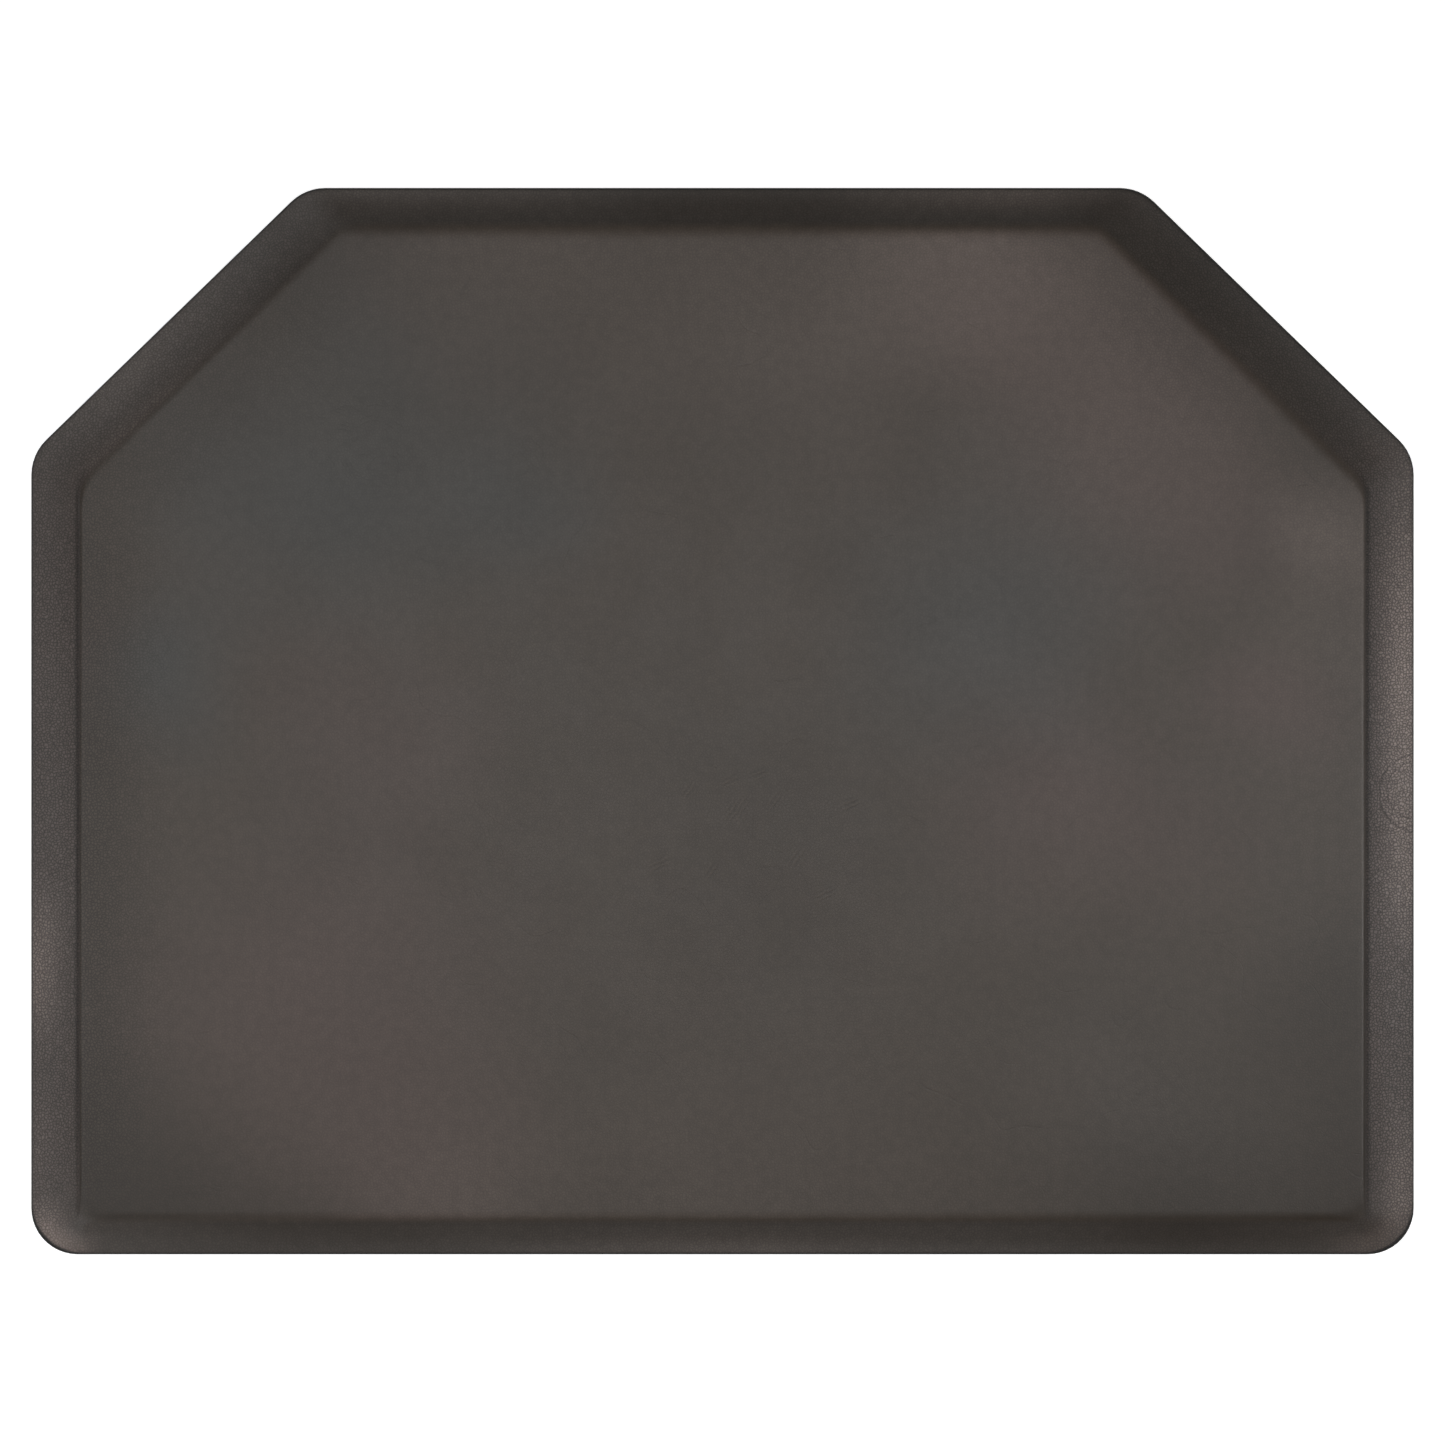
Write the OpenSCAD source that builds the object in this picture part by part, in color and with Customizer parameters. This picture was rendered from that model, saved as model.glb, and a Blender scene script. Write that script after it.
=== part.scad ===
// Anti-fatigue floor mat: a leather-grained skin over a foam cushion, on a
// non-slip base. The outline is a rectangle with its two back corners cut off,
// and a bevel runs from a thin edge up to a raised standing panel.
// Millimetres. +X is right, +Y is back, +Z is up. The origin is the centre of
// the footprint, on the floor.

/* [Outline] */
// Width from side to side
mat_w = 1524; // [1300:1:1800]
// Depth from the straight front edge to the back edge
mat_d = 1175.5; // [1000:0.5:1400]
// Length that each chamfer takes off the back edge
chamfer_x = 302; // [250:1:400]
// Length that each chamfer takes off a side edge
chamfer_y = 293.5; // [250:0.5:400]
// Radius of the outline's two front corners
corner_r_front = 51; // [45:1:70]
// Radius of the outline's other corners
corner_r = 54; // [45:1:70]

/* [Layers] */
// Thickness of the whole mat at the standing panel
mat_t = 19; // [16:0.5:25]
// Thickness of the base skin
base_t = 2; // [1.5:0.1:3]
// Thickness of the top skin, measured straight down
skin_t = 2.2; // [1.5:0.1:3]
// How far the base shows past the top skin all round
reveal = 1; // [0.5:0.1:2]

/* [Edge and bevel] */
// Height of the top skin's outer edge above the base
lip_h = 1.6; // [1.6:0.1:2.5]
// Radius that rounds the top of that edge
lip_r = 1.2; // [0.5:0.1:1.4]
// Width from the outline to the panel, along each side edge
bevel_side = 60; // [52:1:75]
// The same, along each chamfer
bevel_chamfer = 77; // [60:1:85]
// The same, along the back edge
bevel_back = 60; // [45:1:75]
// The same, along the front edge
bevel_front = 50; // [40:1:75]
// Share of the bevel's rise that is an even slope; the rest curves up
evenness = 0.3; // [0.2:0.05:0.9]

/* [Standing panel] */
// Height of the panel's rounded shoulder above the crease
step_h = 4; // [2:0.25:5]
// Width of the shoulder along each side edge
shoulder_side = 6; // [4:0.5:12]
// The same, along each chamfer
shoulder_chamfer = 19; // [4:0.5:25]
// The same, along the back edge
shoulder_back = 22; // [4:0.5:25]
// The same, along the front edge
shoulder_front = 15; // [4:0.5:20]
// Radius of the crease's two front corners
crease_r_front = 10; // [8:1:30]
// Radius of the panel's front corners, at the top of the shoulder
panel_r_front = 45; // [30:1:60]
// Radius of both at the corners between a side and a chamfer
panel_r_side = 45; // [8:1:60]
// Radius of both at the corners between a chamfer and the back
panel_r_back = 28; // [8:1:60]

/* [Hidden] */

skin_colour = "#4f4a46";
foam_colour = "#3a3735";
base_colour = "#1f1e1d";

// The six sides, anticlockwise from the front: front, right, right chamfer,
// back, left chamfer, left. A side is the angle of its outward normal and its
// distance from the origin.
chamfer_a = atan2(chamfer_x, chamfer_y);
chamfer_dist = cos(chamfer_a) * mat_w / 2 + sin(chamfer_a) * (mat_d / 2 - chamfer_y);
side_a = [-90, 0, chamfer_a, 90, 180 - chamfer_a, 180];
side_dist = [mat_d / 2, mat_w / 2, chamfer_dist, mat_d / 2, chamfer_dist, mat_w / 2];
sides = [for (k = [0 : 5]) k];

bevel = [bevel_front, bevel_side, bevel_chamfer, bevel_back, bevel_chamfer, bevel_side];
shoulder = [
    shoulder_front, shoulder_side, shoulder_chamfer,
    shoulder_back, shoulder_chamfer, shoulder_side
];

// Corner k lies between side k and the next one. The top skin is rounder than
// the base at its two front corners.
extra_r_front = 4;
base_r = [corner_r_front, corner_r, corner_r, corner_r, corner_r, corner_r_front];
edge_r = [
    corner_r_front + extra_r_front, corner_r, corner_r,
    corner_r, corner_r, corner_r_front + extra_r_front
];
crease_r = [
    crease_r_front, panel_r_side, panel_r_back,
    panel_r_back, panel_r_side, crease_r_front
];
panel_r = [
    panel_r_front, panel_r_side, panel_r_back,
    panel_r_back, panel_r_side, panel_r_front
];

arc_steps = 8;      // segments in each corner of a ring
bevel_steps = 8;    // rings up the bevel
shoulder_steps = 6; // rings over the shoulder
shoulder_power = 2.2;
core_edge = 0.4;    // thickness of the foam at its outer edge

lip_z = base_t + lip_h;
bevel_start = reveal + lip_r;
crease_z = mat_t - step_h;
crease = [for (k = sides) bevel[k] - shoulder[k]];

// Share of the bevel at which the foam starts: where the skin clears the base
// by core_edge. It solves bevel_z(t) = base_t + skin_t + core_edge for t.
core_rise = max(0.02, (base_t + skin_t + core_edge - lip_z) / (crease_z - lip_z));
core_start = (sqrt(pow(evenness, 2) + 4 * (1 - evenness) * core_rise) - evenness)
    / (2 * (1 - evenness));

// Height of the top skin at a share of the way up the bevel.
function bevel_z(t) =
    lip_z + (crease_z - lip_z) * (evenness * t + (1 - evenness) * t * t);

// Height of the top skin at a share of the way over the shoulder.
function shoulder_z(t) = crease_z + step_h * (1 - pow(1 - t, shoulder_power));

// How far each side is set in at a share of the bevel.
function bevel_inset(t) =
    [for (k = sides) bevel_start + t * (crease[k] - bevel_start)];

// How far each side is set in at a share of the shoulder.
function shoulder_inset(t) = [for (k = sides) crease[k] + t * shoulder[k]];

// Corner radii at a share of the bevel, and at a share of the shoulder.
function bevel_r(t) = [for (k = sides) edge_r[k] + t * (crease_r[k] - edge_r[k])];
function shoulder_r(t) = [for (k = sides) crease_r[k] + t * (panel_r[k] - crease_r[k])];

function even(d) = [for (k = sides) d];

// The point where two lines meet, each given by its normal's angle and distance.
function meet(a, p, b, q) =
    [p * sin(b) - q * sin(a), q * cos(a) - p * cos(b)] / sin(b - a);

// Centre of the rounding at corner k of the outline set in by inset.
function corner_centre(k, inset, r) =
    let (n = (k + 1) % 6)
    meet(side_a[k], side_dist[k] - inset[k] - r[k],
         side_a[n], side_dist[n] - inset[n] - r[k]);

// Angle of the rounding at corner k, at a share t of its arc.
function corner_a(k, t) =
    let (a = side_a[k], b = k == 5 ? side_a[0] + 360 : side_a[k + 1])
    a + t * (b - a);

// The rounded outline, set in on each side, as points at height z.
function ring(inset, r, z) = [
    for (k = sides)
        let (c = corner_centre(k, inset, r))
        for (j = [0 : arc_steps])
            let (a = corner_a(k, j / arc_steps))
            [c.x + r[k] * cos(a), c.y + r[k] * sin(a), z]
];

// The upper face, from the panel's edge down to the lip, dropped by d.
function upper_rings(d, lowest) = [
    for (j = [shoulder_steps : -1 : 1])
        let (t = j / shoulder_steps)
        ring(shoulder_inset(t), shoulder_r(t), shoulder_z(t) - d),
    for (j = [bevel_steps : -1 : 0])
        let (t = lowest + (1 - lowest) * j / bevel_steps)
        ring(bevel_inset(t), bevel_r(t), bevel_z(t) - d)
];

// The top skin's outer edge, from the lip's rounding down to the base.
function lip_rings() = [
    for (a = [30, 60, 90])
        ring(even(reveal + lip_r * (1 - sin(a))), edge_r, lip_z - lip_r * (1 - cos(a))),
    ring(even(reveal), edge_r, base_t)
];

// The foam's upper face, down to its thin edge and then to the base.
function core_rings() = concat(
    upper_rings(skin_t, core_start),
    [ring(bevel_inset(core_start), bevel_r(core_start), base_t)]
);

function reversed(list) = [for (j = [len(list) - 1 : -1 : 0]) list[j]];

// A closed solid through rings of equal length. The first ring faces up.
module loft(rings) {
    n = len(rings[0]);
    last = len(rings) - 1;
    polyhedron(
        points = [for (r = rings) each r],
        faces = concat(
            [[for (j = [n - 1 : -1 : 0]) j]],
            [for (i = [0 : last - 1], j = [0 : n - 1])
                let (next = (j + 1) % n)
                each [
                    [i * n + j, i * n + next, (i + 1) * n + next],
                    [i * n + j, (i + 1) * n + next, (i + 1) * n + j]
                ]],
            [[for (j = [0 : n - 1]) last * n + j]]
        ),
        convexity = 4
    );
}

// The non-slip underside: a flat sheet with the mat's full outline.
module base_skin() {
    flush = even(0);
    color(base_colour)
        linear_extrude(base_t) {
            polygon([
                for (k = sides)
                    let (c = corner_centre(k, flush, base_r))
                    for (t = [0, 1])
                        let (a = corner_a(k, t))
                        [c.x + base_r[k] * cos(a), c.y + base_r[k] * sin(a)]
            ]);
            for (k = sides)
                translate(corner_centre(k, flush, base_r))
                    circle(base_r[k], $fn = 96);
        }
}

// The cushion: closed-cell foam that fills the hollow under the top skin.
module foam_core() {
    color(foam_colour)
        loft(core_rings());
}

// The wear skin: one moulding with the panel, shoulder, crease, bevel and lip.
module top_skin() {
    color(skin_colour)
        loft(concat(upper_rings(0, 0), lip_rings(), reversed(core_rings())));
}

base_skin();
foam_core();
top_skin();
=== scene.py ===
import math

import bpy
import numpy as np
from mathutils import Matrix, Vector, noise
from mathutils.geometry import delaunay_2d_cdt


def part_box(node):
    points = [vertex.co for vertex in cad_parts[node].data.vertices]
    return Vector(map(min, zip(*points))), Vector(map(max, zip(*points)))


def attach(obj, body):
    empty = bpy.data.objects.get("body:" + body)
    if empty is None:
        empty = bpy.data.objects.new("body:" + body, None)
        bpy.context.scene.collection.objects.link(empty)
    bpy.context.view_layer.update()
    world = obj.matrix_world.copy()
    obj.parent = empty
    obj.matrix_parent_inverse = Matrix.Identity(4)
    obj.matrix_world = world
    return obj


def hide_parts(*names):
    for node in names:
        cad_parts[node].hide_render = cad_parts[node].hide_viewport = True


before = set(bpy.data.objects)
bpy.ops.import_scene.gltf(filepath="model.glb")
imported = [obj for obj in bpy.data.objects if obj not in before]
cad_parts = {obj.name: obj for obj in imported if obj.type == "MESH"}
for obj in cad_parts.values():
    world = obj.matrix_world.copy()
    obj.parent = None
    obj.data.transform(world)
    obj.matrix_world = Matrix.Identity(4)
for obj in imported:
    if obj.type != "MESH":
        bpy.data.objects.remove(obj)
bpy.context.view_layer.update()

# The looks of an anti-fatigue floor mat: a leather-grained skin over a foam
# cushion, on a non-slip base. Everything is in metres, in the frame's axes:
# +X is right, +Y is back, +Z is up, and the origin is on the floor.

MM = 0.001

# ---------------------------------------------------------------------------
# The design. What the CAD's boxes say comes from them; the rest repeats the
# CAD's dimensions. A side is the angle of its outward normal and its distance
# from the origin. Sides go anticlockwise: front, right, right chamfer, back,
# left chamfer, left. Corner k lies between side k and the next one.

BASE_LOW, BASE_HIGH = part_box("base_skin")
SKIN_LOW, SKIN_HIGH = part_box("top_skin")
WIDTH = BASE_HIGH.x - BASE_LOW.x
DEPTH = BASE_HIGH.y - BASE_LOW.y
TOP = SKIN_HIGH.z
BASE_TOP = BASE_HIGH.z
REVEAL = SKIN_LOW.x - BASE_LOW.x

CHAMFER_X = 302 * MM
CHAMFER_Y = 293.5 * MM
SKIN_THICKNESS = 2.2 * MM
LIP_HEIGHT = 1.6 * MM
LIP_RADIUS = 1.2 * MM
STEP_HEIGHT = 4 * MM
EVENNESS = 0.3
SHOULDER_POWER = 2.2


def per_side(front, side, chamfer, back):
    """One value for each of the six sides."""
    return np.array([front, side, chamfer, back, chamfer, side], float)


def per_corner(front, side, back):
    """One value for each of the six corners."""
    return np.array([front, side, back, back, side, front], float)


BEVEL = per_side(50, 60, 77, 60) * MM
SHOULDER = per_side(15, 6, 19, 22) * MM
CREASE = BEVEL - SHOULDER
BASE_R = per_corner(51, 54, 54) * MM
EDGE_R = per_corner(55, 54, 54) * MM
CREASE_R = per_corner(10, 45, 28) * MM
PANEL_R = per_corner(45, 45, 28) * MM

CHAMFER_A = math.atan2(CHAMFER_X, CHAMFER_Y)
CHAMFER_DIST = (
    math.cos(CHAMFER_A) * WIDTH / 2
    + math.sin(CHAMFER_A) * (DEPTH / 2 - CHAMFER_Y)
)
SIDE_A = np.array([
    -math.pi / 2, 0, CHAMFER_A, math.pi / 2, math.pi - CHAMFER_A, math.pi
])
SIDE_DIST = per_side(DEPTH / 2, WIDTH / 2, CHAMFER_DIST, DEPTH / 2)
SIDE_NORMAL = np.stack([np.cos(SIDE_A), np.sin(SIDE_A)], axis=1)
SIDES = range(6)

LIP_Z = BASE_TOP + LIP_HEIGHT
CREASE_Z = TOP - STEP_HEIGHT
BEVEL_START = REVEAL + LIP_RADIUS

# Share of the bevel at which the foam starts, from the foam's own box
CORE_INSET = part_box("foam_core")[0].x - BASE_LOW.x
CORE_START = (CORE_INSET - BEVEL_START) / (CREASE[1] - BEVEL_START)


# ---------------------------------------------------------------------------
# Outlines and the profile across the edge


def corner_centre(k, inset, radius):
    """Centre of the rounding at corner k of the outline set in by inset."""
    a, b = SIDE_A[k], SIDE_A[(k + 1) % 6]
    p = SIDE_DIST[k] - inset[k] - radius[k]
    q = SIDE_DIST[(k + 1) % 6] - inset[(k + 1) % 6] - radius[k]
    across = np.array([
        p * math.sin(b) - q * math.sin(a),
        q * math.cos(a) - p * math.cos(b),
    ])
    return across / math.sin(b - a)


def corner_arc(k, inset, radius, steps):
    """Points along the rounding at corner k."""
    start = SIDE_A[k]
    end = SIDE_A[0] + 2 * math.pi if k == 5 else SIDE_A[k + 1]
    a = np.linspace(start, end, steps + 1)
    arc = np.stack([np.cos(a), np.sin(a)], axis=1)
    return corner_centre(k, inset, radius) + radius[k] * arc


# The fewest steps in a corner and in the straight part of a side
MIN_ARC_STEPS = 6
MIN_SIDE_STEPS = 2


def arc_steps(spacing):
    """How many steps each corner of an outline has."""
    sweep = np.diff(np.append(SIDE_A, SIDE_A[0] + 2 * math.pi))
    return [max(MIN_ARC_STEPS, round(arc / spacing)) for arc in BASE_R * sweep]


def side_steps(k, spacing):
    """How many steps the straight part of side k has."""
    start = corner_arc((k - 1) % 6, np.zeros(6), BASE_R, 1)[-1]
    end = corner_arc(k, np.zeros(6), BASE_R, 1)[0]
    return max(MIN_SIDE_STEPS, round(np.linalg.norm(end - start) / spacing))


def outline(inset, radius, spacing):
    """The rounded outline, set in on each side.

    The number of points depends only on the spacing, so that two outlines
    with the same spacing match point for point.
    """
    steps = arc_steps(spacing)
    arcs = [corner_arc(k, inset, radius, steps[k]) for k in SIDES]
    points = []
    for k in SIDES:
        n = (k + 1) % 6
        straight = side_steps(n, spacing)
        t = np.arange(1, straight)[:, None] / straight
        points += [arcs[k], arcs[k][-1] * (1 - t) + arcs[n][0] * t]
    return np.concatenate(points)


def around(values, spacing):
    """Values given per side, for each point of an outline."""
    steps = arc_steps(spacing)
    spread = []
    for k in SIDES:
        n = (k + 1) % 6
        spread.append(np.linspace(values[k], values[n], steps[k] + 1))
        spread.append(np.full(side_steps(n, spacing) - 1, values[n]))
    return np.concatenate(spread)


def bevel_z(t):
    """Height of the top skin at a share t of the way up the bevel."""
    return LIP_Z + (CREASE_Z - LIP_Z) * (EVENNESS * t + (1 - EVENNESS) * t * t)


def shoulder_z(t):
    """Height of the top skin at a share t of the way over the shoulder."""
    return CREASE_Z + STEP_HEIGHT * (1 - (1 - t) ** SHOULDER_POWER)


def bevel_outline(t, spacing, widen=0.0):
    """The outline at a share t of the way up the bevel."""
    inset = BEVEL_START + t * (CREASE - BEVEL_START) + widen
    return outline(inset, EDGE_R + t * (CREASE_R - EDGE_R), spacing)


def shoulder_outline(t, spacing):
    """The outline at a share t of the way over the shoulder."""
    return outline(CREASE + t * SHOULDER, CREASE_R + t * (PANEL_R - CREASE_R), spacing)


def at_height(points, z):
    """The outline's points, all at height z."""
    return np.column_stack([points, np.full(len(points), z)])


def depths(flat):
    """How far each point lies inside each of the six sides."""
    return SIDE_DIST - flat @ SIDE_NORMAL.T


def inside_loop(points, loop, margin):
    """Which points lie inside a convex anticlockwise loop, by a margin."""
    keep = np.ones(len(points), bool)
    for a, b in zip(loop, np.roll(loop, -1, axis=0)):
        along = (b - a) / np.linalg.norm(b - a)
        gap = along[0] * (points[:, 1] - a[1]) - along[1] * (points[:, 0] - a[0])
        keep &= gap > margin
    return keep


def lattice(spacing):
    """A triangular lattice of points over the mat's box."""
    rows = []
    ys = np.arange(BASE_LOW.y, BASE_HIGH.y, spacing * math.sqrt(3) / 2)
    for j, y in enumerate(ys):
        start = BASE_LOW.x + spacing / 2 * (j % 2)
        xs = np.arange(start, BASE_HIGH.x, spacing)
        rows.append(np.column_stack([xs, np.full(len(xs), y)]))
    return np.concatenate(rows)


def loop_edges(first, count):
    """The edges of a closed loop of points, by index."""
    return [(first + j, first + (j + 1) % count) for j in range(count)]


INSIDE_EDGES = 1        # what delaunay_2d_cdt calls this kind of result
MERGE_DISTANCE = 1e-7


def triangulate(points, edges):
    """Triangles over flat points, inside the given edges."""
    verts = [Vector(p) for p in points.tolist()]
    found = delaunay_2d_cdt(verts, edges, [], INSIDE_EDGES, MERGE_DISTANCE)
    origin = [ids[0] for ids in found[3]]
    return [[origin[i] for i in face] for face in found[2]]


# How far a lattice point stays inside a loop, as a share of the spacing
LATTICE_GAP = 0.55


class Shell:
    """A closed surface under construction, from rings of equal length."""

    def __init__(self, rings):
        """Quads between neighbouring rings, facing out where the first ring
        is the inner one and the next ones go outwards and down."""
        self.count = len(rings[0])
        self.points = np.concatenate(rings)
        self.faces = []
        for i in range(len(rings) - 1):
            a, b = i * self.count, (i + 1) * self.count
            for j in range(self.count):
                n = (j + 1) % self.count
                self.faces.append((a + j, b + j, b + n, a + n))

    def add(self, points):
        """Adds points and returns the index of the first."""
        first = len(self.points)
        self.points = np.concatenate([self.points, points])
        return first

    def close_end(self):
        """One flat face over the last ring."""
        last = len(self.points) - self.count
        self.faces.append([last + j for j in reversed(range(self.count))])

    def close_start(self, spacing):
        """Triangles over the first ring, on a lattice. Returns how many
        points the lattice has: they are the shell's last ones."""
        loop = self.points[:self.count, :2]
        inner = lattice(spacing)
        inner = inner[inside_loop(inner, loop, spacing * LATTICE_GAP)]
        first = self.add(at_height(inner, self.points[0, 2]))
        index = list(range(self.count)) + list(range(first, len(self.points)))
        flat = np.concatenate([loop, inner])
        for triangle in triangulate(flat, loop_edges(0, self.count)):
            self.faces.append([index[i] for i in triangle])
        return len(inner)

    def turn_over(self):
        """Turns every face to look the other way."""
        self.faces = [face[::-1] for face in self.faces]


def make_piece(name, shell, fields=None, colours=None, sharp=50):
    """A smooth-shaded mesh object from a shell, with named values and
    colours per point."""
    mesh = bpy.data.meshes.new(name)
    mesh.from_pydata(shell.points.tolist(), [], shell.faces)
    for key, values in (fields or {}).items():
        layer = mesh.attributes.new(key, "FLOAT", "POINT")
        layer.data.foreach_set("value", np.asarray(values, np.float32))
    for key, values in (colours or {}).items():
        layer = mesh.attributes.new(key, "FLOAT_COLOR", "POINT")
        layer.data.foreach_set("color", np.asarray(values, np.float32).ravel())
    mesh.shade_smooth()
    mesh.set_sharp_from_angle(angle=math.radians(sharp))
    piece = bpy.data.objects.new(name, mesh)
    bpy.context.scene.collection.objects.link(piece)
    return piece


# ---------------------------------------------------------------------------
# The pieces

SPACING = 7 * MM
BEVEL_RINGS = 16
SHOULDER_RINGS = 8
LIP_ANGLES = np.radians([22.5, 45, 67.5, 90])
# The panel's undulation: waves per metre, height and seed of each noise. It
# has its full height from this rise inwards.
UNDULATION = [(2.3, 0.2 * MM, 3.1), (6.0, 0.03 * MM, 7.7)]
UNDULATION_START = 0.5


def undulation(points):
    """The slow, slight waviness of a moulded foam mat, in metres."""
    rise = np.zeros(len(points))
    for per_metre, height, seed in UNDULATION:
        values = [
            noise.noise(Vector((x * per_metre, y * per_metre, seed)))
            for x, y in points[:, :2]
        ]
        rise += height * np.array(values)
    return rise


# The skin's own colour, the tints laid over it, and its painted light and shade
SKIN_COLOUR = (0.0755, 0.0588, 0.0457)
WARM_COLOUR = (0.106, 0.075, 0.065)
COOL_COLOUR = (0.064, 0.064, 0.060)
# Partly the colour of worn spots, partly painted sheen and painted light
WEAR_AND_LIGHT_COLOUR = (0.285, 0.225, 0.200)
# Painted shade: the colour laid on the bevel, the panel and its border where they are
# shaded
PAINTED_SHADE_COLOUR = (0.031, 0.0225, 0.0155)
BEVEL_COLOUR = (0.081, 0.070, 0.0612)

# Soft patches: x and y of the middle and radius in mm, and strength. Warm and
# cool ones tint the skin. On the bevel alone, the wear and sheen ones are partly
# wear and partly painted sheen, and the shaded ones are painted shade; on the
# panel, the light ones are painted light and the shade ones painted shade.
WARM_PATCHES = [
    (449, 321, 260, 0.7), (300, 420, 180, 0.6), (560, 250, 180, 0.6),
    (383, -90, 230, 0.8), (-445, -325, 330, 0.85), (-350, -480, 210, 0.5),
    (-365, -35, 180, 0.6), (620, 20, 110, 0.8), (-400, 70, 150, 0.15),
    (-700, 90, 130, 0.35),
]
COOL_PATCHES = [
    (-450, 250, 240, 0.8), (-585, 60, 135, 0.8), (-260, 240, 150, 0.6),
    (-400, 420, 150, 0.4), (306, 120, 240, 0.8), (-267, 332, 200, 0.35),
    (471, -451, 230, 0.25),
]
# Paler on the outer bevel: partly wear, partly painted sheen where the bevel faces the
# lights
BEVEL_WEAR_AND_SHEEN = [
    (775, 60, 340, 0.95), (752, -500, 120, 0.4), (-755, -575, 80, 0.9),
    (-775, -265, 120, 0.5), (-775, -450, 75, 0.22), (-670, 390, 170, 0.16),
    (0, -590, 300, 0.13), (320, 600, 240, 0.2), (-330, 600, 220, 0.1),
    (785, -130, 200, 0.5), (735, -545, 80, 0.45),
]
# Painted shade on the bevels that face away from the lights
BEVEL_PAINTED_SHADE = [
    (650, 440, 200, 0.5), (530, 550, 190, 0.56), (-480, 505, 120, 0.25),
    (760, 245, 110, 0.3), (520, -600, 290, 0.47), (740, -610, 70, 0.2),
    (0, 600, 260, 0.28), (-750, 250, 90, 0.1), (-480, -600, 260, 0.34),
    (-290, -600, 170, 0.2), (-770, -60, 150, 0.08), (-765, -370, 90, 0.12),
]
# Painted light on the panel
PANEL_PAINTED_LIGHT = [
    (430, 370, 380, 0.12), (290, 540, 270, 0.36), (0, 530, 260, 0.12),
    (-280, 550, 240, 0.16), (695, 225, 110, 0.26), (0, -520, 420, 0.08),
    (306, 68, 150, 0.05), (438, -430, 160, 0.07), (690, 110, 110, 0.12),
    (480, 370, 190, 0.06), (150, 430, 230, 0.1), (-420, -500, 170, 0.06),
    (-270, -510, 170, 0.12),
    (420, 480, 110, 0.1),
]
# Painted shade on the panel, most along its borders and beside the crease
PANEL_PAINTED_SHADE = [
    (-710, -540, 230, 0.6), (730, -500, 250, 0.7), (730, -280, 210, 0.55),
    (-520, -590, 170, 0.5), (480, -570, 210, 0.42), (-360, 430, 220, 0.13),
    (-655, -545, 130, 0.45), (-700, -430, 110, 0.2), (650, -555, 120, 0.35),
    (50, -120, 240, 0.24), (540, 210, 190, 0.14), (-80, -330, 160, 0.08),
    (695, -350, 150, 0.3),
]
WRINKLE_PATCHES = [
    (20, -80, 110, 0.5), (-280, -170, 130, 0.7), (-640, -100, 110, 0.8),
    (-420, 330, 120, 0.8), (150, -130, 120, 0.5), (480, -420, 120, 0.5),
    (-150, 60, 100, 0.5), (-560, -520, 90, 0.8),
]
# How much painted shade darkens the panel beside each side, and how far in
BORDER_SHADE = np.array([0.05, 0.12, 0.27, 0.0, 0.28, 0.34])
BORDER_WIDTH = 90 * MM
# How much painted shade darkens the crease along each side. Patches, as above:
# where it fades out, and where the crease is paler. Their reach is in rise.
CREASE_PAINTED_SHADE = per_side(0.3, 0.85, 0.1, 0.25)
CREASE_ENDS = [(-705, -540, 130, 0.6), (705, -550, 90, 0.5)]
CREASE_PALE_SPOTS = [(-640, 330, 190, 0.14), (620, 400, 240, 0.05)]
CREASE_REACH = 0.35
# How warm the bevel's tint is along each side
BEVEL_WARMTH = np.array([0.05, 0.5, 0.05, 0.0, 0.15, 0.45])
# Depth of the grain: on the bevel and on the panel's border along each side,
# and in the middle
BEVEL_GRAIN = np.array([0.5, 1.3, 0.85, 0.5, 0.85, 1.15])
BORDER_GRAIN = np.array([0.35, 0.35, 0.45, 0.35, 0.5, 0.85])
PANEL_GRAIN = 0.25
GRAIN_BORDER = 130 * MM
# How much painted shade darkens the rim along each side
RIM_SHADE = np.array([1.3, 0.8, 1.3, 1.5, 1.0, 0.9])
# How softly values given per side change at the corners
CORNER_BLEND = 25 * MM
# The slow noise that pushes the patches about: its scale and reach, the
# height of the slice that is used, and the seed
DRIFT_PER_METRE = 5.0
DRIFT_REACH = 60 * MM
DRIFT_LAYER = 1.7
DRIFT_SEED = 174
# The fine mottle: strength, how much finer it is than the drift, and the
# fractal's dimension, lacunarity and octaves
MOTTLE = 0.06
MOTTLE_FINER = 2
MOTTLE_FRACTAL = (1.0, 2.0, 4)


def eased(share):
    """0 to 1 with a soft start and a soft end."""
    share = np.clip(share, 0, 1)
    return share * share * (3 - 2 * share)


def wander(flat):
    """Flat points pushed about by slow noise, and a mottle from -1 to 1."""
    noise.seed_set(DRIFT_SEED)      # noise_vector is random without it
    moved, mottle = [], []
    for x, y in flat:
        at = Vector((x * DRIFT_PER_METRE, y * DRIFT_PER_METRE, DRIFT_LAYER))
        push = noise.noise_vector(at)
        moved.append((x + push.x * DRIFT_REACH, y + push.y * DRIFT_REACH))
        mottle.append(noise.fractal(at * MOTTLE_FINER, *MOTTLE_FRACTAL))
    return np.array(moved), np.array(mottle)


def patches(flat, places):
    """How much several soft patches cover, at flat points."""
    bare = np.ones(len(flat))
    for x, y, radius, strength in places:
        away = np.hypot(flat[:, 0] - x * MM, flat[:, 1] - y * MM)
        bare *= 1 - strength * eased(1 - away / (radius * MM))
    return 1 - bare


def by_side(flat, values):
    """Values given per side, for each point, blended at the corners."""
    inset = depths(flat)
    weights = np.exp((inset.min(axis=1)[:, None] - inset) / CORNER_BLEND)
    return weights @ values / weights.sum(axis=1)


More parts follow.
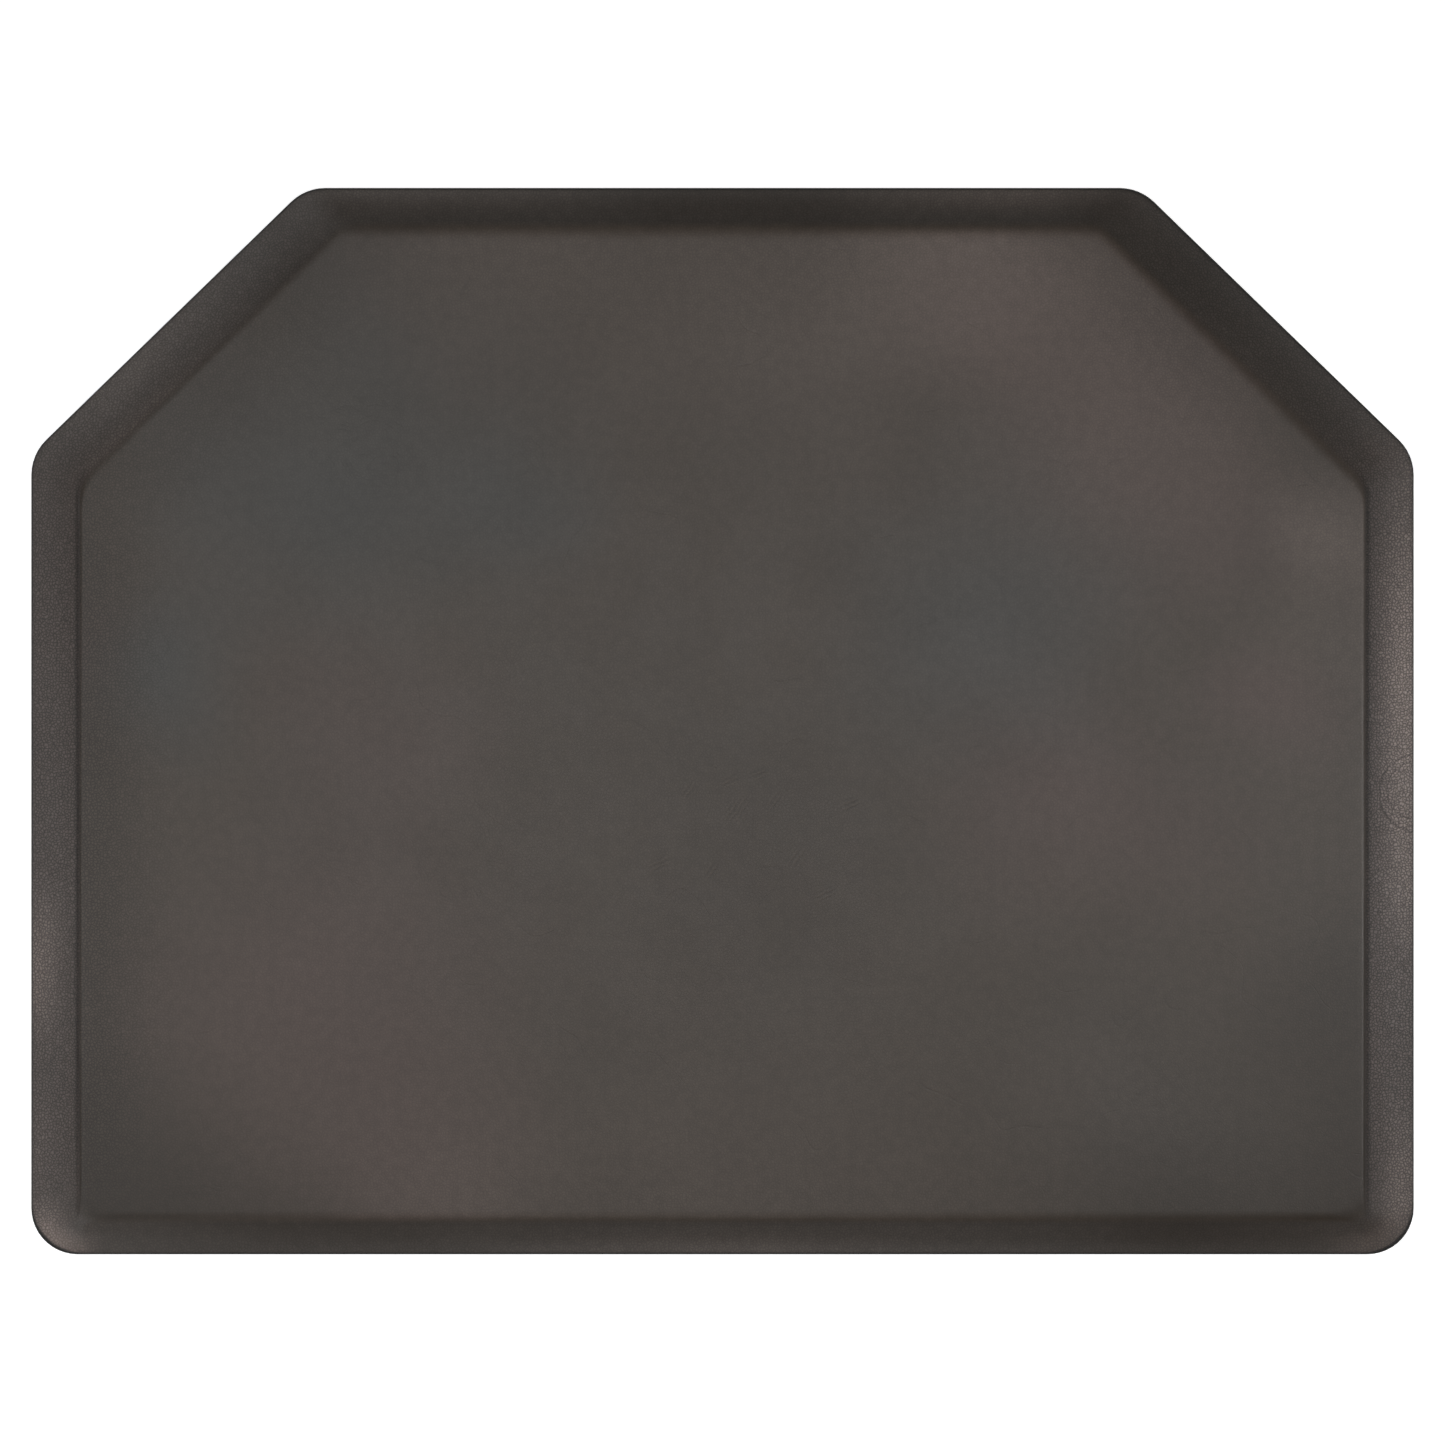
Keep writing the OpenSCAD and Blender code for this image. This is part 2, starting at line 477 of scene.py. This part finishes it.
def below(rise, end, fade):
    """1 lower down on the mat, easing to 0 where the rise reaches end."""
    return eased((end - rise) / fade)


def above(rise, start, fade):
    """0 up to where the rise reaches start, then easing to 1."""
    return eased((rise - start) / fade)


def skin_colours_and_painted_light(flat, rise):
    """The skin's colour at each point, with its painted light and shade, and how
    wrinkled it is.
    """
    moved, mottle = wander(flat)
    on_bevel = below(rise, end=1.4, fade=0.4)
    outer_bevel = below(rise, end=0.95, fade=0.8)
    inner_panel = above(rise, start=1.2, fade=0.6)
    on_panel = above(rise, start=1, fade=0.6)
    in_crease = eased(1 - abs(rise - 1) / CREASE_REACH)
    inside = (depths(flat) - BEVEL) / BORDER_WIDTH
    border = (BORDER_SHADE * eased(1 - inside)).max(axis=1)
    layers = [
        (BEVEL_COLOUR, on_bevel),
        (WARM_COLOUR, by_side(flat, BEVEL_WARMTH) * on_bevel),
        (WARM_COLOUR, patches(moved, WARM_PATCHES) * on_panel),
        (COOL_COLOUR, patches(moved, COOL_PATCHES) * on_panel),
        # Paler outer bevel: partly wear, partly painted sheen
        (WEAR_AND_LIGHT_COLOUR, patches(moved, BEVEL_WEAR_AND_SHEEN) * outer_bevel),
        # Painted shade on the bevel
        (PAINTED_SHADE_COLOUR, patches(moved, BEVEL_PAINTED_SHADE) * on_bevel),
        # Painted light on the panel
        (WEAR_AND_LIGHT_COLOUR, patches(moved, PANEL_PAINTED_LIGHT) * inner_panel),
        # Painted shade on the panel
        (PAINTED_SHADE_COLOUR, patches(moved, PANEL_PAINTED_SHADE) * on_panel),
        # Painted shade on the panel beside each side
        (PAINTED_SHADE_COLOUR, border * on_panel),
        # The crease paler in spots, lifting its painted shade
        (WEAR_AND_LIGHT_COLOUR, patches(flat, CREASE_PALE_SPOTS) * in_crease),
    ]
    colour = np.tile(SKIN_COLOUR, (len(flat), 1))
    for tint, share in layers:
        colour += (np.array(tint) - colour) * share[:, None]
    colour *= 1 + MOTTLE * mottle[:, None]
    full = np.column_stack([colour, np.ones(len(colour))])
    return full, patches(moved, WRINKLE_PATCHES)


def grain_depth(flat, rise):
    """How deep the grain is at each point."""
    bevel = by_side(flat, BEVEL_GRAIN)
    border = eased(1 - (depths(flat) - BEVEL).min(axis=1) / GRAIN_BORDER)
    panel = PANEL_GRAIN + (by_side(flat, BORDER_GRAIN) - PANEL_GRAIN) * border
    return bevel + (panel - bevel) * above(rise, start=0.95, fade=0.4)


# The hollow's rings: shares of the shoulder, and how many up the bevel
CAVITY_SHOULDER = (1, 0.6, 0.3)
CAVITY_BEVEL_RINGS = 6


def cavity_rings(spacing, clearance):
    """Rings over the foam's upper face and down to the base, inner first."""
    drop = SKIN_THICKNESS + clearance
    rings = []
    for t in CAVITY_SHOULDER:
        rings.append(at_height(shoulder_outline(t, spacing), shoulder_z(t) - drop))
    for t in np.linspace(1, CORE_START, CAVITY_BEVEL_RINGS):
        flat = bevel_outline(t, spacing, widen=clearance)
        rings.append(at_height(flat, bevel_z(t) - drop))
    rings.append(at_height(flat, BASE_TOP + clearance))
    return rings


def make_top_skin():
    """The wear skin: panel, shoulder, crease, bevel and lip, over a hollow.

    Each point's rise is -1 at the base, 0 on the lip, 1 at the crease and 2 on
    the panel.
    """
    rings, rise = [], []
    for t in np.linspace(1, 0, SHOULDER_RINGS, endpoint=False):
        rings.append(at_height(shoulder_outline(t, SPACING), shoulder_z(t)))
        rise.append(1 + t)
    for t in np.linspace(1, 0, BEVEL_RINGS + 1):
        rings.append(at_height(bevel_outline(t, SPACING), bevel_z(t)))
        rise.append(t)
    for a in LIP_ANGLES:
        inset = np.full(6, REVEAL + LIP_RADIUS * (1 - math.sin(a)))
        lip = outline(inset, EDGE_R, SPACING)
        rings.append(at_height(lip, LIP_Z - LIP_RADIUS * (1 - math.cos(a))))
        rise.append(-2 * a / math.pi)
    rings.append(at_height(lip, BASE_TOP))
    outer = len(rings)
    rings += reversed(cavity_rings(SPACING, 0.0))
    rise += [-1] * (len(rings) - len(rise))

    shell = Shell(rings)
    shell.close_end()
    panel = shell.close_start(SPACING)
    rise = np.concatenate([np.repeat(rise, shell.count), np.full(panel, 2)])
    upper = np.ones(len(rise), bool)
    upper[outer * shell.count:-panel] = False
    fade = np.clip(rise / UNDULATION_START, 0, 1) * upper
    shell.points[:, 2] += undulation(shell.points) * fade
    # Painted shade in the crease: how strong it is along each side
    crease_shading_strength = np.tile(around(CREASE_PAINTED_SHADE, SPACING), len(rings))
    crease_shading_strength = np.concatenate([crease_shading_strength, np.zeros(panel)])
    flat = shell.points[:, :2]
    crease_shading_strength *= 1 - patches(flat, CREASE_ENDS)
    # The colours carry the skin's painted light and shade
    hide, wrinkled = skin_colours_and_painted_light(flat, rise)
    fields = {
        "rise": rise, "crease_shading_strength": crease_shading_strength, "wrinkled": wrinkled,
        "grain": grain_depth(flat, rise), "rim": by_side(flat, RIM_SHADE),
    }
    return make_piece("grained_top_skin", shell, fields, {"hide": hide})


FOAM_SPACING = 18 * MM
FOAM_CLEARANCE = 0.1 * MM


def make_foam_core():
    """The foam cushion: it fills the hollow under the top skin."""
    shell = Shell(cavity_rings(FOAM_SPACING, FOAM_CLEARANCE))
    shell.close_end()
    shell.close_start(FOAM_SPACING)
    return make_piece("foam_cushion", shell)


CUP_PITCH = 38 * MM
CUP_RADIUS = 8 * MM
CUP_DEPTH = 0.8 * MM
CUP_BORDER = 30 * MM
CUP_POINTS = 16
# Rings of a cup inside its rim: share of its radius, share of its depth
CUP_PROFILE = [(0.82, 0.6), (0.45, 0.93)]
# The base's edge, from below: inset in mm and share of its thickness
BASE_EDGE = [(0.6, 0), (0.18, 0.09), (0, 0.3), (0, 0.8), (0.12, 0.94), (0.4, 1)]


def make_base_skin():
    """The base sheet, with shallow grip cups moulded in its underside."""
    rings = []
    for inset, share in BASE_EDGE:
        flat = outline(np.full(6, inset * MM), BASE_R, SPACING)
        rings.append(at_height(flat, share * BASE_TOP))
    shell = Shell(rings)
    shell.close_end()

    centres = lattice(CUP_PITCH)
    centres = centres[depths(centres).min(axis=1) > CUP_BORDER]
    a = np.arange(CUP_POINTS) * 2 * math.pi / CUP_POINTS
    circle = np.stack([np.cos(a), np.sin(a)], axis=1)
    rims = [centre + CUP_RADIUS * circle for centre in centres]
    first = shell.add(at_height(np.concatenate(rims), 0.0))

    edges = loop_edges(0, shell.count)
    for i in range(len(centres)):
        edges += loop_edges(shell.count + i * CUP_POINTS, CUP_POINTS)
    flat = np.concatenate([rings[0][:, :2], *rims])
    index = list(range(shell.count)) + list(range(first, len(shell.points)))
    for triangle in triangulate(flat, edges):
        cups = {(i - shell.count) // CUP_POINTS for i in triangle}
        in_a_cup = len(cups) == 1 and min(triangle) >= shell.count
        if not in_a_cup:
            shell.faces.append([index[i] for i in triangle])
    for i, centre in enumerate(centres):
        add_cup(shell, centre, circle, first + i * CUP_POINTS)
    shell.turn_over()
    return make_piece("grip_base_skin", shell, sharp=35)


def add_cup(shell, centre, circle, rim):
    """A shallow round hollow inside a rim of points that is there already."""
    for share, depth in CUP_PROFILE:
        level = at_height(centre + CUP_RADIUS * share * circle, depth * CUP_DEPTH)
        ring = shell.add(level)
        for j in range(CUP_POINTS):
            n = (j + 1) % CUP_POINTS
            shell.faces.append((rim + j, rim + n, ring + n, ring + j))
        rim = ring
    middle = shell.add([[*centre, CUP_DEPTH]])
    for j in range(CUP_POINTS):
        shell.faces.append((rim + j, rim + (j + 1) % CUP_POINTS, middle))


# ---------------------------------------------------------------------------
# Materials


class Shader:
    """A material under construction: short calls for its nodes."""

    def __init__(self, name, dimensions="3D"):
        self.dimensions = dimensions
        self.material = bpy.data.materials.new(name)
        self.material.use_nodes = True
        self.tree = self.material.node_tree
        self.surface = self.tree.nodes["Principled BSDF"]
        self.where = self.node("TexCoord").outputs["Object"]

    def node(self, kind, inputs=None, **settings):
        """A new node, with its inputs by name or number and its settings."""
        made = self.tree.nodes.new("ShaderNode" + kind)
        for key, value in settings.items():
            setattr(made, key, value)
        for key, value in (inputs or {}).items():
            self.put(made.inputs[key], value)
        return made

    def put(self, socket, value):
        """Links or sets a socket."""
        if isinstance(value, bpy.types.NodeSocket):
            self.tree.links.new(value, socket)
        else:
            socket.default_value = value

    def math(self, operation, *values):
        made = self.node("Math", dict(enumerate(values)), operation=operation)
        return made.outputs[0]

    def vector(self, operation, *values):
        inputs = dict(enumerate(values))
        made = self.node("VectorMath", inputs, operation=operation)
        return made.outputs[0]

    def scaled(self, vector, factor):
        inputs = {0: vector, "Scale": factor}
        return self.node("VectorMath", inputs, operation="SCALE").outputs[0]

    def noise(self, where, scale, detail=2.0, colour=False):
        """Noise from 0 to 1, or three of them as a colour."""
        inputs = {"Vector": where, "Scale": scale, "Detail": detail}
        made = self.node("TexNoise", inputs, noise_dimensions=self.dimensions)
        return made.outputs["Color" if colour else "Fac"]

    def warped(self, where, scale, reach, detail=1.0):
        """Coordinates pushed about by noise, by up to about half of reach."""
        push = self.noise(where, scale, detail, colour=True)
        centred = self.vector("SUBTRACT", push, (0.5, 0.5, 0.5))
        return self.vector("ADD", where, self.scaled(centred, reach))

    def cells(self, where, scale, edge):
        """Rounded cells: 0 in the valleys between them and 1 on top."""
        made = self.node(
            "TexVoronoi", {"Vector": where, "Scale": scale},
            feature="DISTANCE_TO_EDGE", voronoi_dimensions=self.dimensions,
        )
        return self.ramp(made.outputs["Distance"], 0.0, edge)

    def ramp(self, value, low, high, to_low=0.0, to_high=1.0):
        """value from low to high, eased, as to_low to to_high."""
        inputs = {
            "Value": value, "From Min": low, "From Max": high,
            "To Min": to_low, "To Max": to_high,
        }
        made = self.node("MapRange", inputs, interpolation_type="SMOOTHSTEP")
        return made.outputs[0]

    def attribute(self, name):
        """A value that the mesh holds per point."""
        return self.node("Attribute", attribute_name=name).outputs["Fac"]

    def mix(self, share, a, b):
        """A blend of two colours: a where share is 0, b where it is 1."""
        made = self.node("Mix", data_type="RGBA", clamp_factor=True)
        self.put(made.inputs[0], share)
        self.put(made.inputs[6], a)
        self.put(made.inputs[7], b)
        return made.outputs[2]

    def largest(self, values):
        """The largest of several values."""
        total = values[0]
        for value in values[1:]:
            total = self.math("MAXIMUM", total, value)
        return total

    def away_from(self, where, x, y):
        """Distance from a place on the mat, given in mm."""
        inputs = {0: where, 1: (x * MM, y * MM, 0)}
        made = self.node("VectorMath", inputs, operation="DISTANCE")
        return made.outputs["Value"]

    def waves(self, distance, pitch):
        """-1 to 1 and back, once for each pitch in mm."""
        turns = self.math("MULTIPLY", distance, 2 * math.pi / (pitch * MM))
        return self.math("COSINE", turns)

    def strokes(self, where, turn, pitch, spots):
        """Parallel waves at a turn in degrees, inside spots that are longer
        along the waves than across them."""
        a = math.radians(turn)
        along = (math.cos(a) / STROKE_STRETCH, math.sin(a) / STROKE_STRETCH, 0)
        across = (-math.sin(a), math.cos(a), 0)
        u = self.dot(where, along)
        v = self.dot(where, across)
        inside = []
        for x, y, radius in spots:
            du = self.math("SUBTRACT", u, (along[0] * x + along[1] * y) * MM)
            dv = self.math("SUBTRACT", v, (across[0] * x + across[1] * y) * MM)
            squared = self.math("MULTIPLY", dv, dv)
            squared = self.math("MULTIPLY_ADD", du, du, squared)
            limit = (radius * MM) ** 2
            inside.append(self.ramp(squared, STROKE_CORE * limit, limit, 1.0, 0.0))
        return self.math("MULTIPLY", self.waves(v, pitch), self.largest(inside))

    def dot(self, a, b):
        """The dot product of two vectors."""
        made = self.node("VectorMath", {0: a, 1: b}, operation="DOT_PRODUCT")
        return made.outputs["Value"]

    def hoop(self, where, x, y, radius, pitch):
        """A wave on a thin circle about a place, easing to 0 beside it."""
        off = self.math("SUBTRACT", self.away_from(where, x, y), radius * MM)
        near = self.ramp(self.math("ABSOLUTE", off), 0.0, pitch * MM, 1.0, 0.0)
        return self.math("MULTIPLY", self.waves(off, pitch), near)

    def finish(self, colour, roughness, height):
        """Joins colour, roughness and a bump height in metres."""
        inputs = {"Strength": 1.0, "Distance": 1.0, "Height": height}
        bump = self.node("Bump", inputs)
        self.put(self.surface.inputs["Base Color"], colour)
        self.put(self.surface.inputs["Roughness"], roughness)
        self.put(self.surface.inputs["Normal"], bump.outputs[0])
        return self.material


# How much longer than wide a spot of strokes is, and the share of its squared
# radius over which it is at full strength
STROKE_STRETCH = 1.7
STROKE_CORE = 0.1
# Claw folds in the hide: turn of the strokes in degrees, their pitch in mm,
# and their spots' x, y and half width in mm
CLAWS = [
    (56, 5.0, [
        (15, -97, 13), (58, -88, 9), (-37, -77, 8), (80, -152, 9), (-12, -165, 8),
        (-694, 88, 10), (-722, 112, 8),
    ]),
    (24, 5.0, [
        (8, -66, 8), (40, -58, 8), (140, -92, 9), (112, -190, 9), (-69, -157, 9),
    ]),
]
# Faint rings pressed into the bevel: x, y, radius and pitch of the wave in mm
HOOPS = [(766, -79, 43, 6.5), (764, -76, 32, 5.0)]
HOOP_STRENGTH = 2.0

# The skin's bump, in metres
PEBBLE_HEIGHT = 0.09 * MM
GRIT_HEIGHT = 0.02 * MM
FOLD_DEPTH = 0.07 * MM
RELIEF_DEPTH = 0.05 * MM
# How much each of these darkens the skin, where it is strongest: the valleys and folds
# by their own tone, the crease and rim by painted shade, and the relief by bands of
# painted shade and painted highlight
VALLEY_SHADE = 0.58
RELIEF_SHADE = 0.16
FOLD_SHADE = 0.1
CREASE_SHADE_DEPTH = 0.45
OUTER_SHADE = 0.6
# How fast the short folds follow each other as their noise rises, and half a
# vein's width on the scale of its noise
FOLD_TURNS = 100.0
VEIN_REACH = 0.006
# How much the grain lifts the skin's tone between its valleys, and how far
# grit and blotches vary it
GRAIN_LIFT = 0.1
SPECKLE = 0.7
BLOTCH = 0.055
VALLEY_ROUGHNESS = 0.12


def leather_skin():
    """Moulded polyurethane with a leather grain: pebbles, hide wrinkles,
    soft patches of tint, worn spots with painted sheen, light and shade,
    painted shade in the crease and at the rim, and painted highlight and
    shade on the relief. Its noises' scales are per metre."""
    s = Shader("leather_grained_polyurethane", dimensions="2D")
    rise = s.attribute("rise")
    grain = s.attribute("grain")
    # Colours per point, with the painted light and shade
    hide = s.node("Attribute", attribute_name="hide").outputs["Color"]

    # Pebbles, pushed about by noise.
    where = s.vector("MULTIPLY", s.where, (1, 1, 0))
    bent = s.warped(where, 120.0, 3.4 * MM, detail=2.0)
    tangled = s.warped(where, 150.0, 4.4 * MM, detail=2.0)
    pebbles = s.cells(tangled, 300.0, edge=0.36)
    grit = s.noise(bent, 520.0, detail=1.0)

    # Folds: short curved lines in the wrinkled places, and a few long thin
    # veins where a slow noise crosses its middle.
    swirl = s.noise(where, 15.0, detail=1.5)
    bands = s.ramp(s.math("SINE", s.math("MULTIPLY", swirl, FOLD_TURNS)), 0.2, 0.95)
    broken = s.ramp(s.noise(where, 55.0, detail=1.0), 0.45, 0.6)
    lines = s.math("MULTIPLY", bands, broken)
    lines = s.math("MULTIPLY", lines, s.attribute("wrinkled"))
    level = s.noise(where, 7.0)
    vein = s.math("ABSOLUTE", s.math("SUBTRACT", level, 0.5))
    vein = s.ramp(vein, 0.0, VEIN_REACH, 1.0, 0.0)
    vein = s.math("MULTIPLY", vein, s.ramp(swirl, 0.5, 0.62, 0.0, 0.7))
    folds = s.math("MAXIMUM", lines, vein)

    # Relief: claws on the panel, and rings on the bevel.
    relief = s.math("ADD", s.strokes(bent, *CLAWS[0]), s.strokes(bent, *CLAWS[1]))
    on_bevel = s.ramp(rise, 0.6, 0.95, 1.0, 0.0)
    for hoop in HOOPS:
        ring = s.math("MULTIPLY", s.hoop(bent, *hoop), on_bevel)
        relief = s.math("MULTIPLY_ADD", ring, HOOP_STRENGTH, relief)

    height = s.math("MULTIPLY", s.math("MULTIPLY", pebbles, grain), PEBBLE_HEIGHT)
    height = s.math("MULTIPLY_ADD", grit, GRIT_HEIGHT, height)
    height = s.math("MULTIPLY_ADD", folds, -FOLD_DEPTH, height)
    height = s.math("MULTIPLY_ADD", relief, -RELIEF_DEPTH, height)

    # Tone: dark valleys and folds, painted highlight and shade on the relief, and
    # painted shade in the crease and at the outer edge.
    valley = s.math("MULTIPLY", s.math("SUBTRACT", 1.0, pebbles), grain)
    tone = s.math("MULTIPLY_ADD", grain, GRAIN_LIFT, 1.0)
    tone = s.math("MULTIPLY_ADD", valley, -VALLEY_SHADE, tone)
    speckle = s.math("MULTIPLY", s.math("SUBTRACT", grit, 0.5), grain)
    speckle = s.math("MULTIPLY_ADD", speckle, SPECKLE, 1.0)
    blotch = s.noise(where, 80.0, detail=3.0)
    blotch = s.ramp(blotch, 0.3, 0.7, 1 - BLOTCH, 1 + BLOTCH)
    fold = s.ramp(folds, 0.0, 1.0, 1.0, 1 - FOLD_SHADE)
    # Painted highlight and shade in bands along the claw and ring strokes
    relief_light_and_shade = s.math("MULTIPLY_ADD", relief, -RELIEF_SHADE, 1.0)
    # Painted shade in the crease, as strong as each side's value on the mesh
    before = s.ramp(rise, 0.87, 0.96)
    after = s.ramp(rise, 1.0, 1.9, 1.0, 0.0)
    crease_darkening = s.math("MULTIPLY", before, after)
    crease_darkening = s.math("MULTIPLY", crease_darkening, s.attribute("crease_shading_strength"))
    crease_darkening = s.ramp(crease_darkening, 0.0, 1.0, 1.0, 1 - CREASE_SHADE_DEPTH)
    # Painted shade on the rim, as strong as each side's value on the mesh
    outer = s.ramp(rise, -0.15, 0.1, OUTER_SHADE, 0.0)
    outer = s.math("MULTIPLY", outer, s.attribute("rim"))
    outer = s.math("SUBTRACT", 1.0, outer)
    for shade in (speckle, blotch, fold, relief_light_and_shade, crease_darkening, outer):
        tone = s.math("MULTIPLY", tone, shade)

    roughness = s.ramp(s.noise(where, 12.0), 0.3, 0.7, 0.39, 0.41)
    roughness = s.math("MULTIPLY_ADD", valley, VALLEY_ROUGHNESS, roughness)
    return s.finish(s.scaled(hide, tone), roughness, height)


# Bump of the base's texture and of the foam's coarse and fine cells
TEXTURE_HEIGHT = 0.05 * MM
COARSE_CELL_DEPTH = 0.25 * MM
FINE_CELL_DEPTH = 0.08 * MM


def moulded_base():
    """Near-black polyurethane, matt, with the mould's fine texture."""
    s = Shader("matt_base_polyurethane")
    grain = s.noise(s.where, 900.0)
    smear = s.noise(s.warped(s.where, 6.0, 90 * MM), 9.0, detail=3.0)
    low = (0.011, 0.0105, 0.010, 1)
    high = (0.020, 0.019, 0.018, 1)
    colour = s.mix(smear, low, high)
    colour = s.scaled(colour, s.ramp(grain, 0.3, 0.7, 0.85, 1.15))
    roughness = s.ramp(smear, 0.3, 0.7, 0.6, 0.78)
    height = s.math("MULTIPLY", grain, TEXTURE_HEIGHT)
    return s.finish(colour, roughness, height)


def cell_foam():
    """Closed-cell foam: small round cells of two sizes."""
    s = Shader("closed_cell_foam")
    coarse = s.cells(s.warped(s.where, 300.0, 1 * MM), 700.0, edge=0.3)
    fine = s.cells(s.where, 1700.0, edge=0.35)
    colour = s.mix(coarse, (0.052, 0.047, 0.043, 1), (0.030, 0.027, 0.025, 1))
    cloud = s.noise(s.where, 14.0, detail=3.0)
    colour = s.scaled(colour, s.ramp(cloud, 0.3, 0.7, 0.88, 1.12))
    height = s.math("MULTIPLY", coarse, -COARSE_CELL_DEPTH)
    height = s.math("MULTIPLY_ADD", fine, -FINE_CELL_DEPTH, height)
    return s.finish(colour, s.ramp(cloud, 0.3, 0.7, 0.85, 0.95), height)


def glowing(name, grey, glow):
    """A plain matt grey that also gives off some white light."""
    material = bpy.data.materials.new(name)
    material.use_nodes = True
    surface = material.node_tree.nodes["Principled BSDF"]
    surface.inputs["Base Color"].default_value = (grey, grey, grey, 1)
    surface.inputs["Roughness"].default_value = 1.0
    surface.inputs["Specular IOR Level"].default_value = 0.0
    surface.inputs["Emission Color"].default_value = (1, 1, 1, 1)
    surface.inputs["Emission Strength"].default_value = glow
    return material


# ---------------------------------------------------------------------------
# Camera, light and floor

LENS = 100.0
SENSOR = 36.0
VIEW_WIDTH = 1.5936
VIEW_Y = -1.5 * MM
CLIP_END = 50.0


def make_camera():
    """Straight down, with the back edge at the top."""
    data = bpy.data.cameras.new("camera")
    data.lens = LENS
    data.sensor_width = SENSOR
    data.clip_end = CLIP_END
    camera = bpy.data.objects.new("camera", data)
    camera.location = (0, VIEW_Y, VIEW_WIDTH * LENS / SENSOR)
    bpy.context.scene.collection.objects.link(camera)
    bpy.context.scene.camera = camera


def softbox(name, place, aim, size, radiance):
    """A rectangular light of a given brightness, aimed at a point."""
    data = bpy.data.lights.new(name, "AREA")
    data.shape = "RECTANGLE"
    data.size, data.size_y = size
    data.energy = radiance * math.pi * size[0] * size[1]
    light = bpy.data.objects.new(name, data)
    light.location = place
    way = Vector(aim) - Vector(place)
    light.rotation_euler = way.to_track_quat("-Z", "Y").to_euler()
    light.visible_camera = False
    bpy.context.scene.collection.objects.link(light)


# Softboxes: place, aim, width and height, and brightness
LIGHTS = {
    "overhead": ((0, 0, 4.7), (0, 0, 0), (2.4, 1.2), 3.75),
    "right": ((1.96, -0.25, 2.6), (0.72, -0.25, 0), (0.5, 0.45), 24.7),
    "left": ((-1.85, -0.7, 2.6), (-0.72, -0.7, 0), (0.5, 0.6), 8.7),
    "low_right": ((1.6, -0.2, 1.0), (0.75, -0.2, 0), (0.4, 0.5), 4.6),
    "low_left": ((-1.6, -0.2, 1.0), (-0.75, -0.2, 0), (0.4, 0.5), 3.3),
    "back_left": ((-1.47, 1.3, 2.6), (-0.61, 0.44, 0), (0.6, 0.6), 4.6),
    "front_left": ((-1.63, -1.63, 1.2), (-0.2, -0.2, 0), (1.2, 0.8), 2.2),
    "front": ((0, -1.75, 2.6), (0, -0.5, 0), (1.2, 0.5), 1.8),
    "high_left": ((-2.4, 1.2, 4.7), (0, 0, 0), (1.2, 1.2), 3.1),
}
FLOOR_REACH = 12.0
FLOOR_DROP = 0.05 * MM
WALL_FOOT = -0.1
WALL_HEIGHT = 8.0
WALL_POINTS = 96


def make_stage(name, points, faces, material):
    """A part of the studio, which isn't part of the object."""
    mesh = bpy.data.meshes.new(name)
    mesh.from_pydata(points, [], faces)
    mesh.materials.append(material)
    made = bpy.data.objects.new(name, mesh)
    bpy.context.scene.collection.objects.link(made)
    return made


def make_studio():
    """The lights, a dark world, the floor and a wall round it."""
    for name, (place, aim, size, radiance) in LIGHTS.items():
        softbox(name, place, aim, size, radiance)

    world = bpy.data.worlds.new("studio")
    world.use_nodes = True
    background = world.node_tree.nodes["Background"]
    background.inputs["Strength"].default_value = 0.0
    bpy.context.scene.world = world
    bpy.context.scene.view_settings.view_transform = "Standard"

    far = FLOOR_REACH
    corners = [(-far, -far, 0), (far, -far, 0), (far, far, 0), (-far, far, 0)]
    white = glowing("white_floor", grey=0.85, glow=0.65)
    floor = make_stage("floor", corners, [(0, 1, 2, 3)], white)
    floor.location.z = -FLOOR_DROP

    # The wall is for low views, and lights nothing.
    a = np.arange(WALL_POINTS) * 2 * math.pi / WALL_POINTS
    foot = at_height(far * np.stack([np.cos(a), np.sin(a)], axis=1), WALL_FOOT)
    top = foot + (0, 0, WALL_HEIGHT)
    points = np.concatenate([foot, top]).tolist()
    quads = []
    for j in range(WALL_POINTS):
        n = (j + 1) % WALL_POINTS
        quads.append((j, n, WALL_POINTS + n, WALL_POINTS + j))
    pale = glowing("pale_wall", grey=0.0, glow=0.66)
    wall = make_stage("wall", points, quads, pale)
    wall.visible_diffuse = False
    wall.visible_glossy = False
    wall.visible_transmission = False
    wall.visible_shadow = False


def place(piece, node, slot, material):
    """Puts a piece in the frame in place of its CAD node."""
    piece.data.materials.append(material)
    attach(piece, "root")
    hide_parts(node)


make_camera()
make_studio()
place(make_top_skin(), "top_skin", "grained_skin", leather_skin())
place(make_base_skin(), "base_skin", "base", moulded_base())
foam = make_foam_core()
place(foam, "foam_core", "foam", cell_foam())
